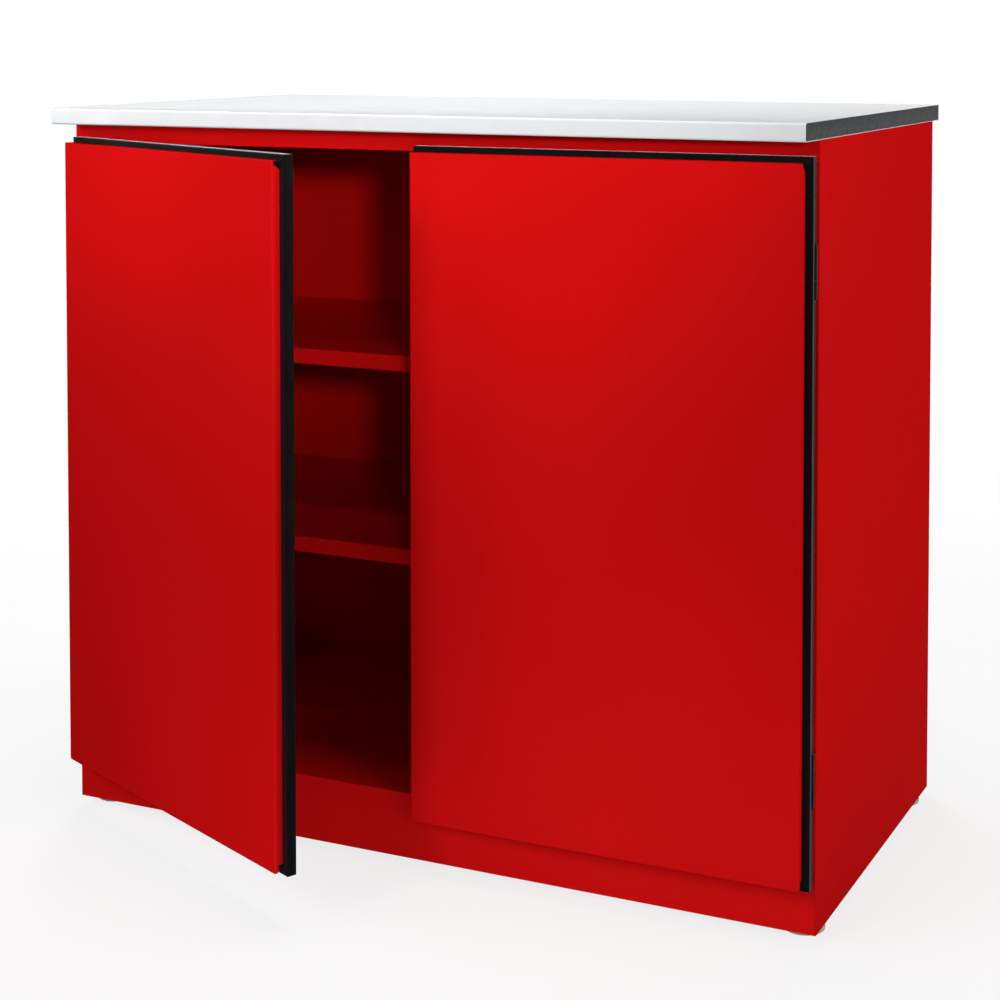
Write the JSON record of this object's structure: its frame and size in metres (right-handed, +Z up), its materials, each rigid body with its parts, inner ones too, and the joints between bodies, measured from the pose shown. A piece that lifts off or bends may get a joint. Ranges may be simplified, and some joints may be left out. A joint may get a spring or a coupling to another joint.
{
  "type": "flammable storage cabinet",
  "caption": "Low red steel cabinet with a white laminated worktop, hinged doors with black sealed edges, the left door ajar, shelves inside, and levelling feet.",
  "frame": {"origin": "on the floor, in the middle of the width and of the depth the object takes up with the left door ajar (to the nearest millimetre)", "axes": "+Z up; +X towards the right of someone facing the doors, along the width; +Y towards the back"},
  "size_m": [1, 0.769, 0.9175],
  "materials": {
    "red_powder_coat": "satin red powder coat with a fine orange peel",
    "black_door_edge": "satin black",
    "white_laminate": "smooth white laminate",
    "grey_edge_band": "matt dark grey edging",
    "chipboard": "raw chipboard, seen only from below and behind",
    "zinc_plated_steel": "zinc plated",
    "black_painted_steel": "satin black paint on the hinges and strike plates",
    "grey_foot_plastic": "matt light grey moulding",
    "black_catch_plastic": "matt moulding"
  },
  "bodies": {
    "carcass": {"left_side_panel": "red_powder_coat", "right_side_panel": "red_powder_coat", "left_side_liner": "red_powder_coat", "right_side_liner": "red_powder_coat", "plinth_front": "red_powder_coat", "top_rail_front": "red_powder_coat", "plinth_rear": "red_powder_coat", "top_rail_rear": "red_powder_coat", "back_panel": "red_powder_coat", "floor_pan": "red_powder_coat", "roof_panel": "red_powder_coat", "worktop_laminate": "white_laminate", "worktop_core": "chipboard", "worktop_end_band_left": "grey_edge_band", "worktop_end_band_right": "grey_edge_band", "shelf_upper": "red_powder_coat", "shelf_lower": "red_powder_coat", "shelf_upper_clip_left_front": "zinc_plated_steel", "shelf_upper_clip_left_rear": "zinc_plated_steel", "shelf_upper_clip_right_front": "zinc_plated_steel", "shelf_upper_clip_right_rear": "zinc_plated_steel", "shelf_lower_clip_left_front": "zinc_plated_steel", "shelf_lower_clip_left_rear": "zinc_plated_steel", "shelf_lower_clip_right_front": "zinc_plated_steel", "shelf_lower_clip_right_rear": "zinc_plated_steel", "foot_bracket_front_left": "zinc_plated_steel", "foot_bracket_front_right": "zinc_plated_steel", "foot_bracket_rear_left": "zinc_plated_steel", "foot_bracket_rear_right": "zinc_plated_steel", "left_lower_hinge_body_leaf": "black_painted_steel", "left_upper_hinge_body_leaf": "black_painted_steel", "right_lower_hinge_body_leaf": "black_painted_steel", "right_upper_hinge_body_leaf": "black_painted_steel", "left_lower_hinge_pin": "black_painted_steel", "left_upper_hinge_pin": "black_painted_steel", "right_lower_hinge_pin": "black_painted_steel", "right_upper_hinge_pin": "black_painted_steel", "magnetic_catch": "black_catch_plastic"},
    "left_door": {"left_door_skin": "red_powder_coat", "left_door_liner": "red_powder_coat", "left_door_frame_left": "black_door_edge", "left_door_frame_right": "black_door_edge", "left_door_frame_top": "black_door_edge", "left_door_frame_bottom": "black_door_edge", "left_door_strike_plate": "black_painted_steel", "left_lower_hinge_door_leaf": "black_painted_steel", "left_upper_hinge_door_leaf": "black_painted_steel"},
    "right_door": {"right_door_skin": "red_powder_coat", "right_door_liner": "red_powder_coat", "right_door_frame_left": "black_door_edge", "right_door_frame_right": "black_door_edge", "right_door_frame_top": "black_door_edge", "right_door_frame_bottom": "black_door_edge", "right_door_strike_plate": "black_painted_steel", "right_lower_hinge_door_leaf": "black_painted_steel", "right_upper_hinge_door_leaf": "black_painted_steel"},
    "foot_front_left": {"foot_front_left": "grey_foot_plastic"},
    "foot_front_right": {"foot_front_right": "grey_foot_plastic"},
    "foot_rear_left": {"foot_rear_left": "grey_foot_plastic"},
    "foot_rear_right": {"foot_rear_right": "grey_foot_plastic"}
  },
  "joints": [
    {"name": "left_door_hinge", "type": "hinge", "parent": "carcass", "child": "left_door", "pos_m": [-0.4955, -0.16, 0.4695], "axis": [0, 0, -1], "range_deg": [-24.9, 85.1]},
    {"name": "right_door_hinge", "type": "hinge", "parent": "carcass", "child": "right_door", "pos_m": [0.4955, -0.16, 0.4695], "axis": [0, 0, 1], "range_deg": [0, 110]},
    {"name": "foot_front_left_height", "type": "slide", "parent": "carcass", "child": "foot_front_left", "axis": [0, 0, -1], "range_m": [-0.002, 0.015]},
    {"name": "foot_front_right_height", "type": "slide", "parent": "carcass", "child": "foot_front_right", "axis": [0, 0, -1], "range_m": [-0.002, 0.015]},
    {"name": "foot_rear_left_height", "type": "slide", "parent": "carcass", "child": "foot_rear_left", "axis": [0, 0, -1], "range_m": [-0.002, 0.015]},
    {"name": "foot_rear_right_height", "type": "slide", "parent": "carcass", "child": "foot_rear_right", "axis": [0, 0, -1], "range_m": [-0.002, 0.015]}
  ]
}
